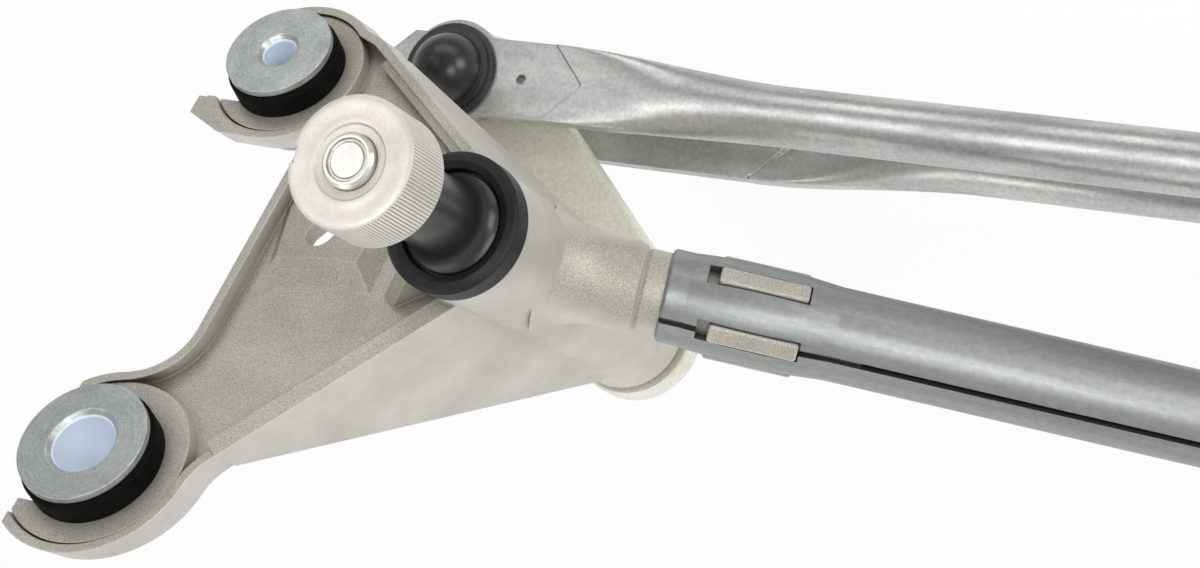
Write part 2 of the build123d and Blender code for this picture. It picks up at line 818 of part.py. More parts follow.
# Knurled drive head, with a keyway in its rim
with BuildPart() as drive_head:
    with BuildSketch(Plane.XY.offset(-head_height / 2)):
        Circle(head_radius)
        with PolarLocations(head_radius, knurl_teeth):
            Polygon(
                (knurl_groove_width, knurl_groove_width),
                (knurl_groove_width, -knurl_groove_width),
                (-knurl_depth, 0),
                align=None,
                mode=Mode.SUBTRACT,
            )
        Circle(rivet_radius + fit_gap, mode=Mode.SUBTRACT)
        with PolarLocations(head_radius, 1, start_angle=keyway_angle):
            Rectangle(2 * keyway_depth, keyway_width, mode=Mode.SUBTRACT)
    extrude(amount=head_height)
    with BuildSketch(Plane.XY.offset(head_height / 2)):
        Circle(head_dish_radius)
        Circle(rivet_radius + fit_gap, mode=Mode.SUBTRACT)
    extrude(amount=-head_dish_depth, taper=head_dish_slope, mode=Mode.SUBTRACT)
write_part(drive_head, "left_drive_head")
write_moved(drive_head, "right_drive_head")

# Plastic sleeve between the head and the seal
sleeve_foot_z = seal_rim_z - seal_recess_depth + side_gap
with BuildPart() as shaft_sleeve:
    with BuildSketch(Plane.XZ):
        with BuildLine():
            foot = Polyline(
                (sleeve_flare_radius, sleeve_foot_z + sleeve_foot_height),
                (sleeve_flare_radius, sleeve_foot_z),
                (shaft_radius + fit_gap, sleeve_foot_z),
                (shaft_radius + fit_gap, -head_height / 2),
                (sleeve_radius, -head_height / 2),
                (sleeve_radius, sleeve_foot_z + sleeve_foot_height + sleeve_flare_length),
            )
            Bezier(
                foot @ 1,
                (sleeve_radius, sleeve_foot_z + sleeve_foot_height + sleeve_flare_length / 3),
                foot @ 0,
            )
        make_face()
    revolve(axis=Axis.Z)
write_part(shaft_sleeve, "left_shaft_sleeve")
write_moved(shaft_sleeve, "right_shaft_sleeve")

# Spring ring in the groove of the shaft, just above the upper bush
with BuildPart() as retaining_ring:
    with BuildSketch(Plane.XY.offset(ring_groove_z + side_gap / 2)):
        Circle(ring_radius)
        Circle(shaft_radius - ring_groove_depth + fit_gap, mode=Mode.SUBTRACT)
        Rectangle(2 * ring_radius, ring_slot, align=(Align.MIN, Align.CENTER), mode=Mode.SUBTRACT)
    extrude(amount=ring_height)
write_part(retaining_ring, "left_retaining_ring")
write_moved(retaining_ring, "right_retaining_ring")

# Thrust washer between the housing and the lever
with BuildPart() as thrust_washer:
    with BuildSketch(Plane.XY.offset(lever_top_z + side_gap)):
        Circle(thrust_washer_radius)
        Circle(shaft_radius + running_gap, mode=Mode.SUBTRACT)
    extrude(amount=thrust_washer_height)
    rim_edges = thrust_washer.edges().filter_by(GeomType.CIRCLE).group_by(SortBy.RADIUS)[-1]
    chamfer(rim_edges, thrust_washer_edge)
write_part(thrust_washer, "left_thrust_washer")
write_moved(thrust_washer, "right_thrust_washer")

# Lever: a flat bar with a round hub and a round tip
with BuildPart() as lever:
    with BuildSketch(Plane.XY.offset(lever_bottom_z).rotated((0, 0, lever_park_angle))):
        with Locations((lever_radius / 2, 0)):
            SlotCenterToCenter(lever_radius, 2 * lever_half_width)
        Circle(lever_hub_radius)
        Circle(shaft_radius + fit_gap, mode=Mode.SUBTRACT)
        with Locations((lever_radius, 0)):
            Circle(stud_neck_radius + fit_gap, mode=Mode.SUBTRACT)
    extrude(amount=lever_thickness)
    lever_faces = lever.faces().filter_by(Axis.Z)
    chamfer([face.outer_wire().edges() for face in lever_faces], lever_edge)
write_part(lever, "left_lever")
write_moved(lever, "right_lever")


def stud_section(ball_x):
    """A plane through the axis of a ball stud on a parked lever, with its Y along that axis."""
    return Plane(origin=(ball_x, park_ball_y, 0), x_dir=(1, 0, 0), z_dir=(0, -1, 0))


# Ball stud of the left lever, with a ball at each end
left_stud_section = stud_section(park_ball_x)
with BuildPart() as left_ball_stud:
    with BuildSketch(left_stud_section):
        with Locations((0, rear_ball_z)):
            Rectangle(
                stud_neck_radius,
                front_ball_z - rear_ball_z,
                align=(Align.MIN, Align.MIN),
            )
        with Locations((0, lever_top_z)):
            Rectangle(stud_collar_radius, stud_collar_height, align=(Align.MIN, Align.MIN))
        with Locations((0, lever_bottom_z)):
            Rectangle(stud_collar_radius, stud_collar_height, align=(Align.MIN, Align.MAX))
    revolve(axis=Axis(left_stud_section.origin, left_stud_section.y_dir))
    for ball_z in (front_ball_z, rear_ball_z):
        with Locations((park_ball_x, park_ball_y, ball_z)):
            Sphere(ball_radius)
write_part(left_ball_stud, "left_ball_stud")

# Ball stud of the right lever, with one ball and a riveted end
right_stud_section = stud_section(pivot_distance + park_ball_x)
with BuildPart() as right_ball_stud:
    with BuildSketch(right_stud_section):
        with Locations((0, lever_bottom_z)):
            Rectangle(
                stud_neck_radius,
                front_ball_z - lever_bottom_z,
                align=(Align.MIN, Align.MIN),
            )
            Rectangle(stud_collar_radius, stud_end_height, align=(Align.MIN, Align.MAX))
        with Locations((0, lever_top_z)):
            Rectangle(stud_collar_radius, stud_collar_height, align=(Align.MIN, Align.MIN))
    revolve(axis=Axis(right_stud_section.origin, right_stud_section.y_dir))
    with Locations((pivot_distance + park_ball_x, park_ball_y, front_ball_z)):
        Sphere(ball_radius)
write_part(right_ball_stud, "right_ball_stud")


def rod_end_plane(ball_x, ball_z, inward, side):
    """The face of a rod end that carries the flange of a socket: X runs into the rod."""
    return Plane(
        origin=(ball_x, park_ball_y, ball_z + side * plate_over_ball),
        x_dir=(inward, 0, 0),
        z_dir=(0, 0, side),
    )


def rod_cross_plane(end_plane, reach):
    """A plane across the rod at this distance from the ball, with its Y along the end's Z."""
    return Plane(
        origin=end_plane.from_local_coords((reach, 0, 0)),
        x_dir=end_plane.y_dir,
        z_dir=end_plane.x_dir,
    )


def link_rod(rod_z, near_end, near_flat_length, far_end, far_flat_length):
    """A tubular rod between two balls, its axis at rod_z, flattened and pierced at both ends."""
    ends = ((near_end, near_flat_length), (far_end, far_flat_length))
    length = (far_end.origin - near_end.origin).X
    flat_lengths = near_flat_length + far_flat_length
    round_length = length - flat_lengths - 2 * (flat_to_round - flat_point_depth)
    round_start = rod_cross_plane(near_end, near_flat_length - flat_point_depth + flat_to_round)
    with BuildPart() as rod:
        for end, flat_length in ends:
            blend_reach = flat_length - flat_point_depth
            axis_height = (rod_z - end.origin.Z) * end.z_dir.Z
            with BuildSketch(rod_cross_plane(end, blend_reach)):
                with Locations((0, (flat_step - rod_end_thickness) / 2)):
                    RectangleRounded(
                        2 * rod_end_half_width,
                        rod_end_thickness + flat_step,
                        rod_end_edge,
                    )
            with BuildSketch(rod_cross_plane(end, blend_reach + flat_to_round)):
                with Locations((0, axis_height)):
                    Circle(rod_radius)
            loft()
            # V-shaped end of the flat, which points along the rod
            with BuildSketch(end):
                with BuildLine():
                    Polyline(
                        (blend_reach, -rod_end_half_width),
                        (flat_length, 0),
                        (blend_reach, rod_end_half_width),
                        close=True,
                    )
                make_face()
            extrude(amount=2 * rod_radius, mode=Mode.SUBTRACT)
            with BuildSketch(end):
                Circle(eye_radius)
                with Locations((-rod_end_overhang, 0)):
                    Rectangle(
                        rod_end_overhang + blend_reach,
                        2 * rod_end_half_width,
                        align=(Align.MIN, Align.CENTER),
                    )
            extrude(amount=-rod_end_thickness)
            with BuildSketch(end):
                for side in (1, -1):
                    with BuildLine():
                        Polyline(
                            (-rod_end_overhang, side * rod_end_half_width),
                            (rod_end_chamfer - rod_end_overhang, side * rod_end_half_width),
                            (-rod_end_overhang, side * (rod_end_half_width - rod_end_chamfer)),
                            close=True,
                        )
                    make_face()
                Circle(socket_radius + fit_gap)
                with Locations((drain_hole_reach, 0)):
                    Circle(drain_hole_radius)
            extrude(amount=-rod_end_thickness, mode=Mode.SUBTRACT)
        near_height = (rod_z - near_end.origin.Z) * near_end.z_dir.Z
        with BuildSketch(round_start):
            with Locations((0, near_height)):
                Circle(rod_radius)
        extrude(amount=round_length)
        with BuildSketch(round_start):
            with Locations((0, near_height)):
                Circle(rod_radius - rod_wall)
        extrude(amount=round_length, mode=Mode.SUBTRACT)
        # Vent holes into the hollow of the rod
        with BuildSketch(near_end.offset(near_height)):
            for vent_x in (vent_reach, round_length - vent_reach):
                reach = near_flat_length - flat_point_depth + flat_to_round + vent_x
                with Locations((reach, 0)):
                    Circle(drain_hole_radius)
        extrude(amount=-rod_radius, mode=Mode.SUBTRACT)
    return rod


def ball_socket(ball_x, ball_z, side):
    """A moulded socket on a rod end: side is 1 where its dome faces up, -1 where it faces down."""
    section = Plane(
        origin=(ball_x, park_ball_y, ball_z), x_dir=(side, 0, 0), z_dir=(0, -1, 0)
    )
    cavity_radius = ball_radius + ball_gap
    snap_depth = math.sqrt(cavity_radius**2 - socket_mouth_radius**2)
    flange_top = plate_over_ball + socket_flange_height
    step_top = flange_top + socket_step_height
    dome_edge = math.sqrt(socket_radius**2 - step_top**2)
    dome_angle = math.atan2(dome_edge, step_top) / 2
    dome_middle = (socket_radius * math.sin(dome_angle), socket_radius * math.cos(dome_angle))
    plate_bottom = plate_over_ball - rod_end_thickness
    with BuildPart() as socket:
        with BuildSketch(section):
            with BuildLine():
                outside = Polyline(
                    (dome_edge, step_top),
                    (socket_step_radius, step_top),
                    (socket_step_radius, flange_top),
                    (socket_flange_radius, flange_top),
                    (socket_flange_radius, plate_over_ball),
                    (socket_radius, plate_over_ball),
                    (socket_radius, plate_bottom),
                    (socket_collar_radius, plate_bottom),
                    (socket_collar_radius, -socket_skirt),
                    (socket_lead_radius, -socket_skirt),
                    (socket_mouth_radius, -snap_depth),
                )
                cavity = ThreePointArc(outside @ 1, (cavity_radius, 0), (0, cavity_radius))
                dome = ThreePointArc((0, socket_radius), dome_middle, outside @ 0)
                Line(cavity @ 1, dome @ 0)
            make_face()
        revolve(axis=Axis(section.origin, section.y_dir))
        # Mark of the moulding gate on the crown of the dome
        crown_plane = Plane(origin=section.origin, x_dir=(1, 0, 0), z_dir=(0, 0, side))
        with BuildSketch(crown_plane.offset(socket_radius - socket_wall / 2)):
            Circle(gate_mark_radius)
        extrude(amount=socket_wall / 2 + gate_mark_height)
    return socket


# Tie link between the front balls of both levers
tie_near_end = rod_end_plane(park_ball_x, front_ball_z, 1, 1)
tie_far_end = rod_end_plane(pivot_distance + park_ball_x, front_ball_z, -1, 1)
tie_link_rod = link_rod(
    front_rod_z, tie_near_end, tie_flat_length, tie_far_end, tie_flat_length
)
write_part(tie_link_rod, "tie_link_rod")
write_part(ball_socket(park_ball_x, front_ball_z, 1), "tie_link_left_socket")
write_part(ball_socket(pivot_distance + park_ball_x, front_ball_z, 1), "tie_link_right_socket")

# Drive link from the rear ball of the left lever to the socket for the motor crank
motor_ball_x = park_ball_x + drive_link_length
drive_near_end = rod_end_plane(park_ball_x, rear_ball_z, 1, -1)
drive_far_end = rod_end_plane(motor_ball_x, motor_ball_z, -1, 1)
drive_link_rod = link_rod(
    rear_rod_z, drive_near_end, drive_flat_length, drive_far_end, drive_far_flat_length
)
write_part(drive_link_rod, "drive_link_rod")
write_part(ball_socket(park_ball_x, rear_ball_z, -1), "drive_link_lever_socket")
write_part(ball_socket(motor_ball_x, motor_ball_z, 1), "drive_link_motor_socket")


def ear_section(ear):
    """A plane through the axis of an ear's grommet, with its Y along that axis."""
    return Plane(
        origin=plate_plane(0).from_local_coords((ear[0], ear[1], 0)),
        x_dir=(1, 0, 0),
        z_dir=(0, -plate_cos, plate_sin),
    )


def turned_piece(section, outline):
    """A turned piece: its outline's X is the radius and Y runs along the section's Y."""
    with BuildPart() as piece:
        with BuildSketch(section):
            with BuildLine():
                Polyline(*outline, close=True)
            make_face()
        revolve(axis=Axis(section.origin, section.y_dir))
    return piece


def grommet(section, top, bottom, waist_radius, flange_radius, hole_radius):
    """A rubber grommet whose waist fills the ear between its top and bottom faces."""
    crown = top + grommet_flange_height
    foot = bottom - grommet_flange_height
    return turned_piece(section, [
        (hole_radius + fit_gap, crown),
        (flange_radius - grommet_edge, crown),
        (flange_radius, crown - grommet_edge),
        (flange_radius, top),
        (waist_radius, top),
        (waist_radius, bottom),
        (flange_radius, bottom),
        (flange_radius, foot + grommet_edge),
        (flange_radius - grommet_edge, foot),
        (hole_radius + fit_gap, foot),
    ])


def flanged_sleeve(section, top, bottom, outer_radius, bolt_radius, flange_radius):
    """A steel sleeve inside a grommet, with a broad flange on top of it."""
    crown = top + grommet_flange_height + washer_height
    foot = bottom - grommet_flange_height - washer_height
    return turned_piece(section, [
        (bolt_radius, foot),
        (outer_radius, foot),
        (outer_radius, crown - washer_height),
        (flange_radius, crown - washer_height),
        (flange_radius, crown),
        (bolt_radius + hole_edge_radius, crown),
        (bolt_radius, crown - hole_edge_radius),
    ])


def lower_washer(section, bottom, inner_radius, outer_radius):
    """A plain washer under a grommet, round the end of its sleeve."""
    top = bottom - grommet_flange_height
    return turned_piece(section, [
        (inner_radius + fit_gap, top),
        (outer_radius, top),
        (outer_radius, top - washer_height),
        (inner_radius + fit_gap, top - washer_height),
    ])


# Rubber mounts in the ears of both pivot brackets
for ear_name, ear, waist_radius, rubber_radius, sleeve_outer, bolt_radius in [
    (
        "lower",
        lower_ear,
        lower_waist_radius,
        lower_grommet_radius,
        lower_sleeve_radius,
        lower_bolt_radius,
    ),
    (
        "upper",
        upper_ear,
        upper_waist_radius,
        upper_grommet_radius,
        upper_sleeve_radius,
        upper_bolt_radius,
    ),
]:
    section = ear_section(ear)
    flange_radius = rubber_radius - washer_overhang
    rubber = grommet(section, ear_top, ear_bottom, waist_radius, rubber_radius, sleeve_outer)
    write_part(rubber, f"left_{ear_name}_grommet")
    write_mirrored(rubber, f"right_{ear_name}_grommet")
    steel = flanged_sleeve(section, ear_top, ear_bottom, sleeve_outer, bolt_radius, flange_radius)
    write_part(steel, f"left_{ear_name}_flanged_sleeve")
    write_mirrored(steel, f"right_{ear_name}_flanged_sleeve")
    washer = lower_washer(section, ear_bottom, sleeve_outer, flange_radius)
    write_part(washer, f"left_{ear_name}_washer")
    write_mirrored(washer, f"right_{ear_name}_washer")

# Rubber mount in the forked ear of the motor bracket
third_section = Plane(origin=(*third_ear, motor_plate_z), x_dir=(1, 0, 0), z_dir=(0, -1, 0))
third_flange_radius = upper_grommet_radius - washer_overhang
third_rubber = grommet(
    third_section,
    motor_plate_thickness,
    0,
    upper_waist_radius,
    upper_grommet_radius,
    upper_sleeve_radius,
)
third_steel = flanged_sleeve(
    third_section,
    motor_plate_thickness,
    0,
    upper_sleeve_radius,
    upper_bolt_radius,
    third_flange_radius,
)
third_washer = lower_washer(third_section, 0, upper_sleeve_radius, third_flange_radius)
write_part(third_rubber, "motor_bracket_grommet")
write_part(third_steel, "motor_bracket_flanged_sleeve")
write_part(third_washer, "motor_bracket_washer")
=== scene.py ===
import math

import bmesh
import bpy
from mathutils import Matrix, Vector


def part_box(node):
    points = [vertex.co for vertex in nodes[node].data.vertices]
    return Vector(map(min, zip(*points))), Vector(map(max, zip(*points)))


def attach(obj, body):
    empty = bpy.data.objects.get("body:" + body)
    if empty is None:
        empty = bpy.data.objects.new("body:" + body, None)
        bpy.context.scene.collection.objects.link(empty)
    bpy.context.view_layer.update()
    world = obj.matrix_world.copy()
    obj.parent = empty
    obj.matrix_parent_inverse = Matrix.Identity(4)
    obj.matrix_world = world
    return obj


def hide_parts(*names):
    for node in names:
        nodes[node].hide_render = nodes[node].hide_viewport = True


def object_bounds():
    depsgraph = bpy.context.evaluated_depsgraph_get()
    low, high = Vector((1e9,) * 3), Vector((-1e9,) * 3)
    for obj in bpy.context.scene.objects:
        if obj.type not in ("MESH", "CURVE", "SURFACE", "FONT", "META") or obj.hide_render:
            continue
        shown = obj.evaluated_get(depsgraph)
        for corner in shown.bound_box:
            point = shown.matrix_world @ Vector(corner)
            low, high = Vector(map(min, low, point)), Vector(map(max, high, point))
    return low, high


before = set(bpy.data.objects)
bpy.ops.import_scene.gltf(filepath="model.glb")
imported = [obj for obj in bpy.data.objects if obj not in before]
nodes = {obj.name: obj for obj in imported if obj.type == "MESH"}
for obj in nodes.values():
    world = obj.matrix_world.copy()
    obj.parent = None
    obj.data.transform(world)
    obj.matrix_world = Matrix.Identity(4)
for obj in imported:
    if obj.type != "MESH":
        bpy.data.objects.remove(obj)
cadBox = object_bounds()
print("stage: frame loaded,", len(nodes), "nodes")

# Camera, fitted to the photograph: a 90 mm lens on a 36 mm sensor, looking down on the left pivot
camera = {
    "place": (0.26487, -0.09563, 0.42400),
    "right": (0.88423, 0.22782, -0.40772),
    "up": (-0.13042, 0.95868, 0.25283),
    "back": (0.44848, -0.17038, 0.87740),
    "lens": 90,
    "sensor": 36,
    "clip": (0.01, 20),
}


def makeCamera(settings):
    data = bpy.data.cameras.new("camera")
    data.lens = settings["lens"]
    data.sensor_width = settings["sensor"]
    data.clip_start, data.clip_end = settings["clip"]
    cameraObject = bpy.data.objects.new("camera", data)
    bpy.context.scene.collection.objects.link(cameraObject)
    turn = Matrix((settings["right"], settings["up"], settings["back"])).transposed().to_4x4()
    cameraObject.matrix_world = Matrix.Translation(settings["place"]) @ turn
    bpy.context.scene.camera = cameraObject


makeCamera(camera)

# Lamps: soft boxes over the left end and over the rods, one behind, a low one in front,
# one for the frame tube and one for the right side
studio = {
    "lamps": [
        {
            "name": "overheadBox", "place": (-0.52, 0.10, 0.90), "aim": (0.0, 0.0, -0.08),
            "size": (0.6, 0.6), "power": 0.85,
        },
        {
            "name": "rodBox", "place": (-0.05, -0.24, 0.95), "aim": (0.1, 0.0, -0.10),
            "size": (1.3, 0.22), "power": 3.6,
        },
        {
            "name": "backBox", "place": (-0.10, 0.95, 0.62), "aim": (0.0, 0.0, -0.08),
            "size": (1.3, 0.5), "power": 3.2,
        },
        {
            "name": "lowFrontBox", "place": (-0.45, -0.95, 0.42), "aim": (0.2, 0.0, -0.10),
            "size": (1.0, 0.4), "power": 1.8,
        },
        {
            "name": "tubeBox", "place": (0.61, -0.19, 0.86), "aim": (0.10, 0.0, -0.10),
            "size": (0.45, 0.30), "power": 2.6,
        },
        {
            "name": "rightBox", "place": (1.0, 0.45, 0.60), "aim": (0.0, 0.03, -0.12),
            "size": (0.6, 0.5), "power": 4.2,
        },
    ],
    "heightRange": (0.0, 0.9),
    "horizonLight": 0.85,
    "zenithLight": 0.40,
    "depthRange": (-0.8, 0.8),
    "frontShare": 1.15,
    "backShare": 0.62,
    "floorDrop": 0.06,
    "floorSize": 24.0,
    "floorColour": (0.93, 0.93, 0.93, 1),
    "floorGlow": 0.85,
    "floorRoughness": 0.9,
}


def mathNode(tree, operation, first, second=None):
    step = tree.nodes.new("ShaderNodeMath")
    step.operation = operation
    for socket, value in zip(step.inputs, (first, second)):
        if isinstance(value, (int, float)):
            socket.default_value = value
        elif value is not None:
            tree.links.new(value, socket)
    return step.outputs[0]


def rangeNode(tree, value, fromRange, toRange):
    step = tree.nodes.new("ShaderNodeMapRange")
    step.inputs["From Min"].default_value, step.inputs["From Max"].default_value = fromRange
    step.inputs["To Min"].default_value, step.inputs["To Max"].default_value = toRange
    tree.links.new(value, step.inputs["Value"])
    return step.outputs["Result"]


# 1 for camera, mirror and glass rays
def isSeenDirectly(tree):
    path = tree.nodes.new("ShaderNodeLightPath")
    seen = mathNode(tree, "MAXIMUM", path.outputs["Is Camera Ray"], path.outputs["Is Glossy Ray"])
    return mathNode(tree, "MAXIMUM", seen, path.outputs["Is Transmission Ray"])


def makeStudio(settings):
    for lamp in settings["lamps"]:
        data = bpy.data.lights.new(lamp["name"], "AREA")
        data.shape = "RECTANGLE"
        data.size, data.size_y = lamp["size"]
        data.energy = lamp["power"]
        lampObject = bpy.data.objects.new(lamp["name"], data)
        bpy.context.scene.collection.objects.link(lampObject)
        aim = Vector(lamp["aim"]) - Vector(lamp["place"])
        lampObject.matrix_world = (
            Matrix.Translation(lamp["place"]) @ aim.to_track_quat("-Z", "Y").to_matrix().to_4x4()
        )
    world = bpy.data.worlds.new("studioWorld")
    bpy.context.scene.world = world
    world.use_nodes = True
    tree = world.node_tree
    tree.nodes.clear()
    output = tree.nodes.new("ShaderNodeOutputWorld")
    mix = tree.nodes.new("ShaderNodeMixShader")
    room = tree.nodes.new("ShaderNodeBackground")
    backdrop = tree.nodes.new("ShaderNodeBackground")
    backdrop.inputs["Color"].default_value = (1, 1, 1, 1)
    path = tree.nodes.new("ShaderNodeLightPath")
    coordinates = tree.nodes.new("ShaderNodeTexCoord")
    split = tree.nodes.new("ShaderNodeSeparateXYZ")
    link = tree.links.new
    link(coordinates.outputs["Generated"], split.inputs[0])
    # Brighter at the horizon than overhead, and brighter in front than behind
    heights = (settings["horizonLight"], settings["zenithLight"])
    height = rangeNode(tree, split.outputs["Z"], settings["heightRange"], heights)
    depths = (settings["frontShare"], settings["backShare"])
    depth = rangeNode(tree, split.outputs["Y"], settings["depthRange"], depths)
    link(mathNode(tree, "MULTIPLY", height, depth), room.inputs["Strength"])
    link(path.outputs["Is Camera Ray"], mix.inputs["Fac"])
    link(room.outputs[0], mix.inputs[1])
    link(backdrop.outputs[0], mix.inputs[2])
    link(mix.outputs[0], output.inputs[0])


def makeFloor(settings):
    half = settings["floorSize"] / 2
    level = cadBox[0][2] - settings["floorDrop"]
    mesh = bpy.data.meshes.new("floor")
    corners = [(x, y, level) for x, y in ((-half, -half), (half, -half), (half, half), (-half, half))]
    mesh.from_pydata(corners, [], [(0, 1, 2, 3)])
    floor = bpy.data.objects.new("floor", mesh)
    bpy.context.scene.collection.objects.link(floor)
    material = bpy.data.materials.new("paleFloor")
    material.use_nodes = True
    tree = material.node_tree
    shader = tree.nodes["Principled BSDF"]
    shader.inputs["Base Color"].default_value = settings["floorColour"]
    shader.inputs["Roughness"].default_value = settings["floorRoughness"]
    glow = tree.nodes.new("ShaderNodeEmission")
    mix = tree.nodes.new("ShaderNodeMixShader")
    tree.links.new(mathNode(tree, "MULTIPLY", isSeenDirectly(tree), settings["floorGlow"]), mix.inputs["Fac"])
    tree.links.new(shader.outputs[0], mix.inputs[1])
    tree.links.new(glow.outputs[0], mix.inputs[2])
    tree.links.new(mix.outputs[0], tree.nodes["Material Output"].inputs["Surface"])
    mesh.materials.append(material)


makeStudio(studio)
makeFloor(studio)
bpy.context.scene.view_settings.view_transform = "Standard"
print("stage: camera, lamps and floor")

# How clouds, grain, edges and hollows show on every finish; edges are painted lighter for wear and a painted
# highlight, and hollows get painted shade
surface = {
    "cloudDetail": 6,
    "cloudRoughness": 0.62,
    "cloudRamp": (0.34, 0.68),
    "glossRange": (0.3, 0.7),
    "grainDetail": 3,
    "speckRange": (0.30, 0.70),
    "wallRange": (0.30, 0.65),
    "edgeSamples": 4,
    "edgeRange": (1.0, 0.72),
    "edgeWearAndSheen": 0.5,
    "hollowSamples": 4,
    "hollowReach": 0.004,
    "hollowRange": (0.2, 0.85),
}

# Finishes: colours are linear, clouds and grain are per metre, and the other lengths are in metres
finishes = {
    "blastedCasting": {
        "colours": ((0.430, 0.405, 0.352, 1), (0.525, 0.497, 0.440, 1)),
        "metallic": 0.62, "roughness": (0.44, 0.58),
        "clouds": (55, 55, 55), "grain": 3600, "grainDepth": 0.00007, "grainColour": 0.34,
        "edge": 0.0005, "edgeLight": 0.9, "creviceShade": 0.55, "sidePaintedLight": (1.32, 1.335, 1.40),
    },
    "tubeZinc": {
        "colours": ((0.265, 0.28, 0.272, 1), (0.350, 0.365, 0.352, 1)),
        "metallic": 0.84, "roughness": (0.36, 0.50),
        "clouds": (9, 260, 260), "grain": 900, "grainDepth": 0.00002, "grainColour": 0.10, "follow": "tube",
        "edge": 0.0003, "edgeLight": 0.5, "creviceShade": 0.7,
    },
    "rodZinc": {
        "colours": ((0.40, 0.412, 0.405, 1), (0.59, 0.592, 0.56, 1)),
        "metallic": 0.90, "roughness": (0.27, 0.44),
        "clouds": (34, 120, 120), "grain": 1100, "grainDepth": 0.000025, "grainColour": 0.14,
        "edge": 0.0003, "edgeLight": 0.6, "creviceShade": 0.6,
    },
    "leverZinc": {
        "colours": ((0.84, 0.815, 0.70, 1), (0.92, 0.90, 0.79, 1)),
        "metallic": 0.25, "roughness": (0.36, 0.50),
        "clouds": (40, 220, 220), "grain": 1500, "grainDepth": 0.00002, "grainColour": 0.12,
        "edge": 0.0003, "edgeLight": 0.5, "creviceShade": 0.5,
    },
    "headZinc": {
        "colours": ((0.67, 0.635, 0.575, 1), (0.75, 0.71, 0.65, 1)),
        "metallic": 0.55, "roughness": (0.40, 0.52),
        "clouds": (160, 160, 160), "grain": 2500, "grainDepth": 0.00001, "grainColour": 0.06,
        "edge": 0.00012, "edgeLight": 0.3, "creviceShade": 0.12,
    },
    "turnedSteel": {
        "colours": ((0.66, 0.65, 0.60, 1), (0.78, 0.77, 0.72, 1)),
        "metallic": 0.90, "roughness": (0.24, 0.36),
        "clouds": (250, 250, 250), "grain": 3000, "grainDepth": 0.00001, "grainColour": 0.06,
        "edge": 0.00025, "edgeLight": 0.4, "creviceShade": 0.6,
    },
    "washerZinc": {
        "colours": ((0.40, 0.425, 0.42, 1), (0.52, 0.55, 0.54, 1)),
        "metallic": 0.88, "roughness": (0.27, 0.44),
        "clouds": (150, 150, 150), "grain": 2200, "grainDepth": 0.00002, "grainColour": 0.16,
        "edge": 0.00035, "edgeLight": 1.0, "creviceShade": 0.4,
    },
    "grommetRubber": {
        "colours": ((0.0030, 0.0030, 0.0028, 1), (0.0070, 0.0070, 0.0065, 1)),
        "metallic": 0.0, "roughness": (0.55, 0.70),
        "clouds": (150, 150, 150), "grain": 1800, "grainDepth": 0.00002, "grainColour": 0.2, "specular": 0.05,
    },
    "sealRubber": {
        "colours": ((0.006, 0.006, 0.006, 1), (0.014, 0.014, 0.014, 1)),
        "metallic": 0.0, "roughness": (0.36, 0.50),
        "clouds": (150, 150, 150), "grain": 1800, "grainDepth": 0.00002, "grainColour": 0.2, "specular": 0.30,
        "edge": 0.0004,
    },
    "glossyPlastic": {
        "colours": ((0.0150, 0.0145, 0.0125, 1), (0.027, 0.0263, 0.022, 1)),
        "metallic": 0.0, "roughness": (0.22, 0.34),
        "clouds": (120, 120, 120), "grain": 1200, "grainDepth": 0.00001, "grainColour": 0.1, "specular": 0.55,
        "edge": 0.0004,
    },
    "palePlastic": {
        "colours": ((0.50, 0.49, 0.44, 1), (0.58, 0.57, 0.52, 1)), "metallic": 0.0, "roughness": (0.35, 0.50),
        "clouds": (100, 100, 100), "grain": 1500, "grainDepth": 0.00002, "grainColour": 0.1,
    },
    "sinteredBronze": {
        "colours": ((0.20, 0.14, 0.08, 1), (0.32, 0.24, 0.14, 1)), "metallic": 0.8, "roughness": (0.45, 0.60),
        "clouds": (300, 300, 300), "grain": 4000, "grainDepth": 0.00004, "grainColour": 0.3,
    },
}

# The frame tube's line, which its streaks follow
tubeLine = {
    "startZ": -0.0573,
    "slope": math.tan(math.radians(25.1)),
    "flatFrom": 0.2193,
    "pivotDistance": 0.660,
}


# Object coordinates with Z measured from the frame tube's own axis
def alongTube(tree, place, line):
    split = tree.nodes.new("ShaderNodeSeparateXYZ")
    tree.links.new(place, split.inputs[0])
    fromRight = mathNode(tree, "SUBTRACT", line["pivotDistance"], split.outputs["X"])
    fromNearer = mathNode(tree, "MINIMUM", split.outputs["X"], fromRight)
    reach = mathNode(tree, "MINIMUM", fromNearer, line["flatFrom"])
    drop = mathNode(tree, "MULTIPLY", reach, line["slope"])
    level = mathNode(tree, "SUBTRACT", mathNode(tree, "ADD", split.outputs["Z"], drop), line["startZ"])
    join = tree.nodes.new("ShaderNodeCombineXYZ")
    tree.links.new(split.outputs["X"], join.inputs[0])
    tree.links.new(split.outputs["Y"], join.inputs[1])
    tree.links.new(level, join.inputs[2])
    return join.outputs[0]


def noiseNode(tree, place, scale, detail, roughness=0.6):
    stretch = tree.nodes.new("ShaderNodeMapping")
    stretch.inputs["Scale"].default_value = scale
    noise = tree.nodes.new("ShaderNodeTexNoise")
    noise.inputs["Scale"].default_value = 1
    noise.inputs["Detail"].default_value = detail
    noise.inputs["Roughness"].default_value = roughness
    tree.links.new(place, stretch.inputs["Vector"])
    tree.links.new(stretch.outputs["Vector"], noise.inputs["Vector"])
    return noise.outputs[0]


def scaledColour(tree, colour, factor):
    step = tree.nodes.new("ShaderNodeVectorMath")
    step.operation = "SCALE"
    tree.links.new(colour, step.inputs[0])
    tree.links.new(factor, step.inputs["Scale"])
    return step.outputs[0]


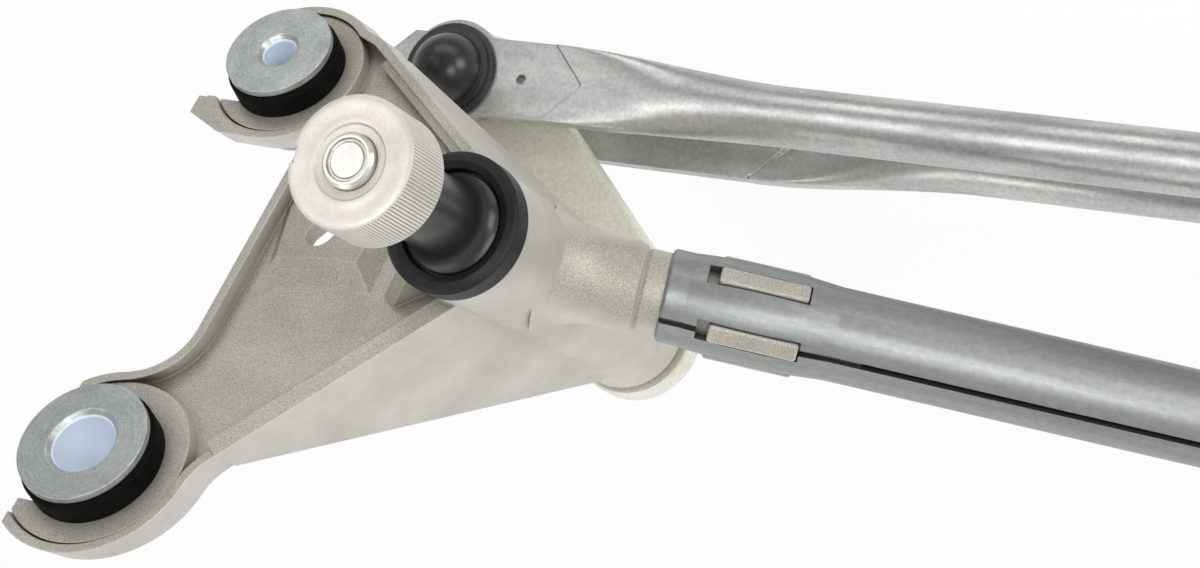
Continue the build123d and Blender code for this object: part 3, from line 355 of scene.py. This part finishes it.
# The rounded normal, and a share that is 0 on a face and up to 1 along its edges
def edgeShare(tree, width):
    rounded = tree.nodes.new("ShaderNodeBevel")
    rounded.samples = surface["edgeSamples"]
    rounded.inputs["Radius"].default_value = width
    face = tree.nodes.new("ShaderNodeNewGeometry")
    dot = tree.nodes.new("ShaderNodeVectorMath")
    dot.operation = "DOT_PRODUCT"
    tree.links.new(rounded.outputs[0], dot.inputs[0])
    tree.links.new(face.outputs["Normal"], dot.inputs[1])
    return rounded.outputs[0], rangeNode(tree, dot.outputs["Value"], surface["edgeRange"], (0.0, 1.0))


def makeFinish(name, settings):
    material = bpy.data.materials.new(name)
    material.use_nodes = True
    tree = material.node_tree
    link = tree.links.new
    shader = tree.nodes["Principled BSDF"]
    shader.inputs["Metallic"].default_value = settings["metallic"]
    shader.inputs["Specular IOR Level"].default_value = settings.get("specular", 0.5)
    place = tree.nodes.new("ShaderNodeTexCoord").outputs["Object"]
    if settings.get("follow") == "tube":
        place = alongTube(tree, place, tubeLine)
    clouds = noiseNode(tree, place, settings["clouds"], surface["cloudDetail"], surface["cloudRoughness"])
    ramp = tree.nodes.new("ShaderNodeValToRGB")
    for stop, position, shade in zip(ramp.color_ramp.elements, surface["cloudRamp"], settings["colours"]):
        stop.position = position
        stop.color = shade
    link(clouds, ramp.inputs["Fac"])
    size = settings["grain"]
    grain = noiseNode(tree, place, (size, size, size), surface["grainDetail"])
    # Grain shows as light and dark specks; a casting has none on walls that face sideways
    strength = settings["grainColour"]
    specks = rangeNode(tree, grain, surface["speckRange"], (1 - strength, 1 + strength))
    colour = scaledColour(tree, ramp.outputs["Color"], specks)
    # Walls that face sideways get the smoother as-cast skin without grain, and are also painted paler: a
    # painted reflection of the pale floor
    if settings.get("sidePaintedLight"):
        facing = tree.nodes.new("ShaderNodeNewGeometry")
        split = tree.nodes.new("ShaderNodeSeparateXYZ")
        link(facing.outputs["Normal"], split.inputs[0])
        upward = rangeNode(tree, split.outputs["Z"], surface["wallRange"], (0.0, 1.0))
        sideLitColour = tree.nodes.new("ShaderNodeVectorMath")
        sideLitColour.operation = "MULTIPLY"
        sideLitColour.inputs[1].default_value = settings["sidePaintedLight"]
        link(ramp.outputs["Color"], sideLitColour.inputs[0])
        walls = tree.nodes.new("ShaderNodeMix")
        walls.data_type = "RGBA"
        link(upward, walls.inputs[0])
        link(sideLitColour.outputs[0], walls.inputs[6])
        link(colour, walls.inputs[7])
        colour = walls.outputs[2]
    smoothest, roughest = settings["roughness"]
    gloss = rangeNode(tree, clouds, surface["glossRange"], (roughest, smoothest))
    bump = tree.nodes.new("ShaderNodeBump")
    bump.inputs["Strength"].default_value = 1
    bump.inputs["Distance"].default_value = settings["grainDepth"]
    link(grain, bump.inputs["Height"])
    if settings.get("edge"):
        normal, share = edgeShare(tree, settings["edge"])
        link(normal, bump.inputs["Normal"])
        # Edges are painted lighter: partly wear, partly a painted highlight along the rounded edge
        if settings.get("edgeLight"):
            wornAndLitEdge = rangeNode(tree, share, (0, 1), (1, 1 + settings["edgeLight"] * surface["edgeWearAndSheen"]))
            colour = scaledColour(tree, colour, wornAndLitEdge)
    # Painted shade: hollows and corners are darkened by ambient occlusion, where shade falls
    if settings.get("creviceShade"):
        occlusion = tree.nodes.new("ShaderNodeAmbientOcclusion")
        occlusion.samples = surface["hollowSamples"]
        occlusion.inputs["Distance"].default_value = surface["hollowReach"]
        shade = rangeNode(tree, occlusion.outputs["AO"], surface["hollowRange"], (1 - settings["creviceShade"], 1))
        colour = scaledColour(tree, colour, shade)
    link(colour, shader.inputs["Base Color"])
    link(gloss, shader.inputs["Roughness"])
    link(bump.outputs["Normal"], shader.inputs["Normal"])
    return material


materials = {name: makeFinish(name, settings) for name, settings in finishes.items()}

# Turned washers and flanged sleeves: scratches run round each one's own axis, and the bore is painted pale, a
# painted reflection of the light inside it
turnedWashers = {
    "tilt": 23.6,
    # Start of each one's node names, and the radius of its bore
    "groups": [
        ("left_lower", 0.0060), ("left_upper", 0.0033), ("right_lower", 0.0060), ("right_upper", 0.0033),
    ],
    "rings": 5200,
    "ringTurns": 2.5,
    "ringDetail": 4,
    "ringDepth": 0.000012,
    "ringRange": (0.3, 0.7),
    "ringShades": (0.82, 1.16),
    "boreMargin": 0.0003,
    "boreLightColour": (0.70, 0.76, 0.86, 1),
    "boreMetallic": 0.1,
}


def makeWasherFinish(settings, group, boreRadius):
    finish = makeFinish(group + "_washer_zinc", finishes["washerZinc"])
    tree = finish.node_tree
    link = tree.links.new
    shader = tree.nodes["Principled BSDF"]
    low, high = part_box(group + "_washer")
    centre = (low + high) / 2
    place = tree.nodes.new("ShaderNodeTexCoord").outputs["Object"]
    move = tree.nodes.new("ShaderNodeVectorMath")
    move.operation = "SUBTRACT"
    move.inputs[1].default_value = centre
    link(place, move.inputs[0])
    turn = tree.nodes.new("ShaderNodeVectorRotate")
    turn.rotation_type = "X_AXIS"
    turn.inputs["Angle"].default_value = math.radians(settings["tilt"])
    link(move.outputs[0], turn.inputs["Vector"])
    split = tree.nodes.new("ShaderNodeSeparateXYZ")
    link(turn.outputs[0], split.inputs[0])
    squares = [mathNode(tree, "POWER", split.outputs[axis], 2) for axis in ("X", "Y")]
    radius = mathNode(tree, "SQRT", mathNode(tree, "ADD", squares[0], squares[1]))
    angle = mathNode(tree, "ARCTAN2", split.outputs["Y"], split.outputs["X"])
    join = tree.nodes.new("ShaderNodeCombineXYZ")
    link(mathNode(tree, "MULTIPLY", radius, settings["rings"]), join.inputs[0])
    link(mathNode(tree, "MULTIPLY", angle, settings["ringTurns"]), join.inputs[1])
    rings = tree.nodes.new("ShaderNodeTexNoise")
    rings.inputs["Scale"].default_value = 1
    rings.inputs["Detail"].default_value = settings["ringDetail"]
    link(join.outputs[0], rings.inputs["Vector"])
    # The rings add to the grain that the bump already has
    grainNormal = shader.inputs["Normal"].links[0].from_socket
    scratches = tree.nodes.new("ShaderNodeBump")
    scratches.inputs["Strength"].default_value = 1
    scratches.inputs["Distance"].default_value = settings["ringDepth"]
    link(rings.outputs[0], scratches.inputs["Height"])
    link(grainNormal, scratches.inputs["Normal"])
    link(scratches.outputs["Normal"], shader.inputs["Normal"])
    colour = shader.inputs["Base Color"].links[0].from_socket
    shade = rangeNode(tree, rings.outputs[0], settings["ringRange"], settings["ringShades"])
    colour = scaledColour(tree, colour, shade)
    # Painted reflection: the bore's wall is painted pale bluish, with little metal
    inBore = mathNode(tree, "LESS_THAN", radius, boreRadius + settings["boreMargin"])
    paleBore = tree.nodes.new("ShaderNodeMix")
    paleBore.data_type = "RGBA"
    paleBore.inputs[7].default_value = settings["boreLightColour"]
    link(inBore, paleBore.inputs[0])
    link(colour, paleBore.inputs[6])
    link(paleBore.outputs[2], shader.inputs["Base Color"])
    metal = rangeNode(tree, inBore, (0, 1), (finishes["washerZinc"]["metallic"], settings["boreMetallic"]))
    link(metal, shader.inputs["Metallic"])
    return finish


washerMaterials = {
    group: makeWasherFinish(turnedWashers, group, bore) for group, bore in turnedWashers["groups"]
}

# Which finish each CAD node gets, by the last words of its name
nodeFinishes = [
    ("pivot_bracket", "blastedCasting"), ("frame_tube", "tubeZinc"), ("motor_bracket", "tubeZinc"),
    ("motor_bracket_rivets", "turnedSteel"), ("seal", "sealRubber"), ("bush", "sinteredBronze"),
    ("grommet", "grommetRubber"), ("flanged_sleeve", "washerZinc"), ("_washer", "washerZinc"),
    ("pivot_shaft", "turnedSteel"), ("drive_head", "headZinc"), ("shaft_sleeve", "glossyPlastic"),
    ("lever", "leverZinc"), ("ball_stud", "turnedSteel"), ("thrust_washer", "palePlastic"),
    ("retaining_ring", "turnedSteel"), ("link_rod", "rodZinc"), ("socket", "glossyPlastic"),
]
for nodeName, node in nodes.items():
    finish = [f for ending, f in nodeFinishes if nodeName.endswith(ending)][-1]
    material = materials[finish]
    if finish == "washerZinc":
        material = next((m for group, m in washerMaterials.items() if nodeName.startswith(group)), material)
    node.data.materials.clear()
    node.data.materials.append(material)
print("stage: finishes on the CAD nodes")

# Knurled drive heads: one closed outline turned round the shaft, with the teeth cut by rule
knurledHead = {
    "teeth": 118,
    "columnsPerTooth": 6,
    "radius": 0.012,
    "height": 0.0118,
    "grooveDepth": 0.00028,
    "keywayWidth": 0.0034,
    "keywayDepth": 0.0011,
    "mergeDistance": 0.000002,
    "smoothUpTo": 28,
    # What one unit of the radius and height curves stands for, and how high the outline was drawn
    "curveUnit": 12.0,
    "drawnHeight": 11.8,
    # Radius and height in millimetres from the middle, and whether the knurl reaches there
    "outline": [
        (5.05, -5.90, 0), (9.00, -5.90, 0), (11.50, -5.90, 0), (11.85, -5.75, 0), (12.00, -5.45, 1),
        (12.00, -5.30, 1), (12.00, 4.90, 1), (12.00, 5.25, 1), (11.93, 5.55, 0), (11.75, 5.80, 0),
        (11.50, 5.90, 0), (10.80, 5.93, 0), (9.80, 5.90, 0), (8.80, 5.82, 0), (7.80, 5.84, 0),
        (7.10, 5.90, 0), (6.90, 5.86, 0), (6.55, 5.52, 0), (6.30, 5.48, 0), (5.05, 5.48, 0),
        (5.05, -5.90, 0),
    ],
    "heads": [("left_drive_head", "left_crank", 0.0), ("right_drive_head", "right_crank", 0.660)],
}


# A broken line through the points
def addCurve(tree, value, points):
    curve = tree.nodes.new("ShaderNodeFloatCurve")
    line = curve.mapping.curves[0]
    while len(line.points) < len(points):
        line.points.new(0.5, 0.5)
    for handle, (x, y) in zip(line.points, points):
        handle.location = (x, y)
        handle.handle_type = "VECTOR"
    curve.mapping.update()
    tree.links.new(value, curve.inputs["Value"])
    return curve.outputs[0]


def makeHeadTree(settings):
    tree = bpy.data.node_groups.new("knurledHeadTree", "GeometryNodeTree")
    sockets = tree.interface
    sockets.new_socket("Geometry", in_out="INPUT", socket_type="NodeSocketGeometry")
    kinds = {"Teeth": "Int", "Columns Per Tooth": "Int", "Finish": "Material"}
    for name in (
        "Teeth", "Columns Per Tooth", "Radius", "Height", "Groove Depth", "Keyway Width", "Keyway Depth",
        "Centre X", "Finish",
    ):
        kind = "NodeSocket" + kinds.get(name, "Float")
        sockets.new_socket(name, in_out="INPUT", socket_type=kind)
    sockets.new_socket("Geometry", in_out="OUTPUT", socket_type="NodeSocketGeometry")
    link = tree.links.new
    inputs = tree.nodes.new("NodeGroupInput")
    output = tree.nodes.new("NodeGroupOutput")
    rows = len(settings["outline"])
    columns = mathNode(tree, "MULTIPLY", inputs.outputs["Teeth"], inputs.outputs["Columns Per Tooth"])
    grid = tree.nodes.new("GeometryNodeMeshGrid")
    grid.inputs["Vertices Y"].default_value = rows
    link(mathNode(tree, "ADD", columns, 1), grid.inputs["Vertices X"])
    # A grid point's X gives its place round the head, its Y the place along the outline
    position = tree.nodes.new("GeometryNodeInputPosition")
    split = tree.nodes.new("ShaderNodeSeparateXYZ")
    link(position.outputs[0], split.inputs[0])
    turn = mathNode(tree, "ADD", split.outputs["X"], 0.5)
    along = mathNode(tree, "ADD", split.outputs["Y"], 0.5)
    outline = settings["outline"]
    steps = [k / (rows - 1) for k in range(rows)]
    unit = settings["curveUnit"]
    radiusShare = addCurve(tree, along, [(s, r / unit) for s, (r, z, cut) in zip(steps, outline)])
    heights = [(s, (z + unit / 2) / unit) for s, (r, z, cut) in zip(steps, outline)]
    heightShare = addCurve(tree, along, heights)
    knurlShare = addCurve(tree, along, [(s, float(cut)) for s, (r, z, cut) in zip(steps, outline)])
    radius = mathNode(tree, "MULTIPLY", radiusShare, inputs.outputs["Radius"])
    heightScale = mathNode(tree, "DIVIDE", inputs.outputs["Height"], settings["drawnHeight"] / unit)
    height = mathNode(tree, "MULTIPLY", mathNode(tree, "SUBTRACT", heightShare, 0.5), heightScale)
    # Groove: a V one column wide on each side of every tooth's start
    phase = mathNode(tree, "FRACT", mathNode(tree, "MULTIPLY", turn, inputs.outputs["Teeth"]))
    fromTop = mathNode(tree, "ABSOLUTE", mathNode(tree, "SUBTRACT", phase, 0.5))
    offGroove = mathNode(tree, "SUBTRACT", 0.5, fromTop)
    columnShare = mathNode(tree, "MULTIPLY", offGroove, inputs.outputs["Columns Per Tooth"])
    groove = mathNode(tree, "MAXIMUM", mathNode(tree, "SUBTRACT", 1.0, columnShare), 0.0)
    knurl = mathNode(tree, "MULTIPLY", groove, knurlShare)
    cut = mathNode(tree, "MULTIPLY", knurl, inputs.outputs["Groove Depth"])
    radius = mathNode(tree, "SUBTRACT", radius, cut)
    # Keyway at half a turn
    fromKey = mathNode(tree, "ABSOLUTE", mathNode(tree, "SUBTRACT", turn, 0.5))
    keyAngle = mathNode(tree, "MULTIPLY", fromKey, 2 * math.pi)
    sideways = mathNode(tree, "MULTIPLY", keyAngle, inputs.outputs["Radius"])
    halfKey = mathNode(tree, "MULTIPLY", inputs.outputs["Keyway Width"], 0.5)
    inKey = mathNode(tree, "LESS_THAN", sideways, halfKey)
    keyFloor = mathNode(tree, "SUBTRACT", inputs.outputs["Radius"], inputs.outputs["Keyway Depth"])
    over = mathNode(tree, "MAXIMUM", mathNode(tree, "SUBTRACT", radius, keyFloor), 0.0)
    radius = mathNode(tree, "SUBTRACT", radius, mathNode(tree, "MULTIPLY", over, inKey))
    angle = mathNode(tree, "MULTIPLY", turn, 2 * math.pi)
    join = tree.nodes.new("ShaderNodeCombineXYZ")
    east = mathNode(tree, "MULTIPLY", mathNode(tree, "COSINE", angle), radius)
    link(mathNode(tree, "ADD", east, inputs.outputs["Centre X"]), join.inputs[0])
    link(mathNode(tree, "MULTIPLY", mathNode(tree, "SINE", angle), radius), join.inputs[1])
    link(height, join.inputs[2])
    place = tree.nodes.new("GeometryNodeSetPosition")
    link(grid.outputs["Mesh"], place.inputs["Geometry"])
    link(join.outputs[0], place.inputs["Position"])
    merge = tree.nodes.new("GeometryNodeMergeByDistance")
    merge.inputs["Distance"].default_value = settings["mergeDistance"]
    link(place.outputs[0], merge.inputs["Geometry"])
    realize = tree.nodes.new("GeometryNodeRealizeInstances")
    link(merge.outputs[0], realize.inputs[0])
    finish = tree.nodes.new("GeometryNodeSetMaterial")
    link(realize.outputs[0], finish.inputs["Geometry"])
    link(inputs.outputs["Finish"], finish.inputs["Material"])
    link(finish.outputs[0], output.inputs[0])
    return tree


# Run a Geometry Nodes tree with these inputs and keep its result as a plain mesh object
def plainPiece(name, tree, values):
    host = bpy.data.objects.new(name, bpy.data.meshes.new(name + "Host"))
    bpy.context.scene.collection.objects.link(host)
    modifier = host.modifiers.new("shape", "NODES")
    modifier.node_group = tree
    for socket in tree.interface.items_tree:
        if socket.in_out == "INPUT" and socket.name in values:
            modifier[socket.identifier] = values[socket.name]
    bpy.context.view_layer.update()
    evaluated = host.evaluated_get(bpy.context.evaluated_depsgraph_get())
    mesh = bpy.data.meshes.new_from_object(evaluated)
    mesh.name = name
    host.modifiers.clear()
    host.data = mesh
    return host


def smoothWithCreases(mesh, degrees):
    mesh.polygons.foreach_set("use_smooth", [True] * len(mesh.polygons))
    mesh.set_sharp_from_angle(angle=math.radians(degrees))


def outwards(mesh):
    shape = bmesh.new()
    shape.from_mesh(mesh)
    bmesh.ops.recalc_face_normals(shape, faces=shape.faces)
    shape.to_mesh(mesh)
    shape.free()


headTree = makeHeadTree(knurledHead)
for nodeName, body, centreX in knurledHead["heads"]:
    head = plainPiece(nodeName.replace("drive_head", "knurled_head"), headTree, {
        "Teeth": knurledHead["teeth"], "Columns Per Tooth": knurledHead["columnsPerTooth"],
        "Radius": knurledHead["radius"], "Height": knurledHead["height"],
        "Groove Depth": knurledHead["grooveDepth"], "Keyway Width": knurledHead["keywayWidth"],
        "Keyway Depth": knurledHead["keywayDepth"], "Centre X": centreX, "Finish": materials["headZinc"],
    })
    outwards(head.data)
    smoothWithCreases(head.data, knurledHead["smoothUpTo"])
    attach(head, body)
    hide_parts(nodeName)
print("stage: knurled heads")

# Link rods: flattened ends that swell into the round rod behind a V-shaped crease. Millimetres.
linkRods = {
    "sideY": 46.12,
    "radius": 6.1,
    "endHalfWidth": 8.2,
    "endThickness": 3.0,
    "pointDepth": 8.0,
    "swell": 52.0,
    "swellRings": 60,
    "crownShare": 0.55,
    "lateNarrowing": 1.25,
    "pointFadesBy": 0.7,
    # Rounded bar: how far each way the outline is pushed against its sides, and how tight its corners are
    "barWide": 1.45,
    "barHigh": 4.5,
    "cornerPower": 10,
    "creaseWidth": 0.3,
    "step": 0.5,
    "around": 96,
    "cutBack": 0.03,
    "mergeDistance": 0.002,
    "smoothUpTo": 32,
    # Each end: ball X, direction into the rod, face Z, side the face looks to, length of the flat
    "rods": [
        {
            "node": "tie_link_rod", "piece": "tie_rod_skin", "body": "tie_link", "axisZ": -105.85,
            "ends": [(-48.60, 1, -100.25, 1, 31.0), (611.40, -1, -100.25, 1, 31.0)],
        },
        {
            "node": "drive_link_rod", "piece": "drive_rod_skin", "body": "drive_link", "axisZ": -125.15,
            "ends": [(-48.60, 1, -130.75, -1, 67.0), (282.64, -1, -127.75, 1, 31.0)],
        },
    ],
}


def easeShare(value):
    value = min(max(value, 0.0), 1.0)
    return value * value * (3 - 2 * value)


# Near the value itself when small, and never past 1
def softClamp(value, power):
    return value / (1 + abs(value) ** power) ** (1 / power)


def roundedBar(settings, angle):
    power = settings["cornerPower"]
    across = softClamp(settings["barWide"] * math.cos(angle), power)
    return across, softClamp(settings["barHigh"] * math.sin(angle), power)


# Rings of points from the V-shaped crease of one end to the round rod
def rodEndRings(settings, end, axisZ):
    ballX, inward, faceZ, side, flatLength = end
    half, thick, radius = settings["endHalfWidth"], settings["endThickness"], settings["radius"]
    axisHeight = (axisZ - faceZ) * side
    pointStart = flatLength - settings["pointDepth"]
    rings = []
    count = settings["swellRings"]
    for index in range(-1, count + 1):
        share = max(index, 0) / count
        reach = settings["creaseWidth"] + settings["swell"] * share if index >= 0 else 0.0
        lift = settings["step"] if index >= 0 else 0.0
        crown = easeShare(share / settings["crownShare"])
        narrow = easeShare(share ** settings["lateNarrowing"])
        thicken = easeShare(share)
        pointShare = 1 - easeShare(share / settings["pointFadesBy"])
        width = half * (1 - narrow) + radius * narrow
        top = lift * (1 - thicken) + (axisHeight + radius) * thicken
        low = -thick * (1 - thicken) + (axisHeight - radius) * thicken
        ring = []
        for k in range(settings["around"]):
            angle = 2 * math.pi * (k + 0.5) / settings["around"]
            barAcross, barUp = roundedBar(settings, angle)
            across = width * (barAcross * (1 - crown) + math.cos(angle) * crown)
            up = barUp * (1 - crown) + math.sin(angle) * crown
            level = (top + low) / 2 + up * (top - low) / 2
            point = settings["pointDepth"] * (1 - min(abs(across) / half, 1)) * pointShare
            x = ballX + inward * (pointStart + reach + point)
            ring.append((x / 1000, (settings["sideY"] + across) / 1000, (faceZ + side * level) / 1000))
        rings.append(ring)
    return rings


# Every ring starts at the same side and runs the same way round
def matchTurn(ring, centre):
    return sorted(ring, key=lambda p: math.atan2(p[2] - centre[1], p[1] - centre[0]))


def makeRodSkin(settings, rod):
    near = rodEndRings(settings, rod["ends"][0], rod["axisZ"])
    far = rodEndRings(settings, rod["ends"][1], rod["axisZ"])
    far.reverse()
    rings = []
    for ring in near + far:
        middle = [(min(p[axis] for p in ring) + max(p[axis] for p in ring)) / 2 for axis in (1, 2)]
        rings.append(matchTurn(ring, middle))
    shape = bmesh.new()
    rows = [[shape.verts.new(p) for p in ring] for ring in rings]
    count = settings["around"]
    for a, b in zip(rows, rows[1:]):
        for k in range(count):
            n = (k + 1) % count
            shape.faces.new((a[k], a[n], b[n], b[k]))
    # The creases are V-shaped, so each end is closed with strips from the low side to the top
    for row in (rows[0], rows[-1]):
        for k in range(count // 2 - 1):
            shape.faces.new((row[k], row[k + 1], row[count - 2 - k], row[count - 1 - k]))
    bmesh.ops.recalc_face_normals(shape, faces=shape.faces)
    mesh = bpy.data.meshes.new("rodBody")
    shape.to_mesh(mesh)
    shape.free()
    return mesh


# The flat ends of the CAD rod, cut off just before their V-shaped creases
def makeRodEnds(settings, rod):
    shape = bmesh.new()
    kept = bmesh.new()
    for end in rod["ends"]:
        ballX, inward, faceZ, side, flatLength = end
        tip = Vector((ballX + inward * flatLength, settings["sideY"], faceZ)) / 1000
        shape.clear()
        shape.from_mesh(nodes[rod["node"]].data)
        bmesh.ops.remove_doubles(shape, verts=shape.verts, dist=settings["mergeDistance"] / 1000)
        for hand in (1, -1):
            away = Vector((inward * settings["endHalfWidth"], hand * settings["pointDepth"], 0)).normalized()
            place = tip - away * (settings["cutBack"] / 1000)
            geometry = shape.verts[:] + shape.edges[:] + shape.faces[:]
            cut = bmesh.ops.bisect_plane(
                shape, geom=geometry, plane_co=place, plane_no=away, clear_outer=True,
            )
            rim = [item for item in cut["geom_cut"] if isinstance(item, bmesh.types.BMEdge)]
            bmesh.ops.edgenet_fill(shape, edges=rim)
        part = bpy.data.meshes.new("rodEnd")
        shape.to_mesh(part)
        kept.from_mesh(part)
    mesh = bpy.data.meshes.new("rodEnds")
    bmesh.ops.recalc_face_normals(kept, faces=kept.faces)
    kept.to_mesh(mesh)
    kept.free()
    shape.free()
    return mesh


for rod in linkRods["rods"]:
    body = makeRodSkin(linkRods, rod)
    ends = makeRodEnds(linkRods, rod)
    whole = bmesh.new()
    whole.from_mesh(body)
    whole.from_mesh(ends)
    mesh = bpy.data.meshes.new(rod["piece"])
    whole.to_mesh(mesh)
    whole.free()
    smoothWithCreases(mesh, linkRods["smoothUpTo"])
    mesh.materials.append(materials["rodZinc"])
    skin = bpy.data.objects.new(rod["piece"], mesh)
    bpy.context.scene.collection.objects.link(skin)
    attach(skin, rod["body"])
    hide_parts(rod["node"])
print("stage: link rods")

bpy.context.view_layer.update()
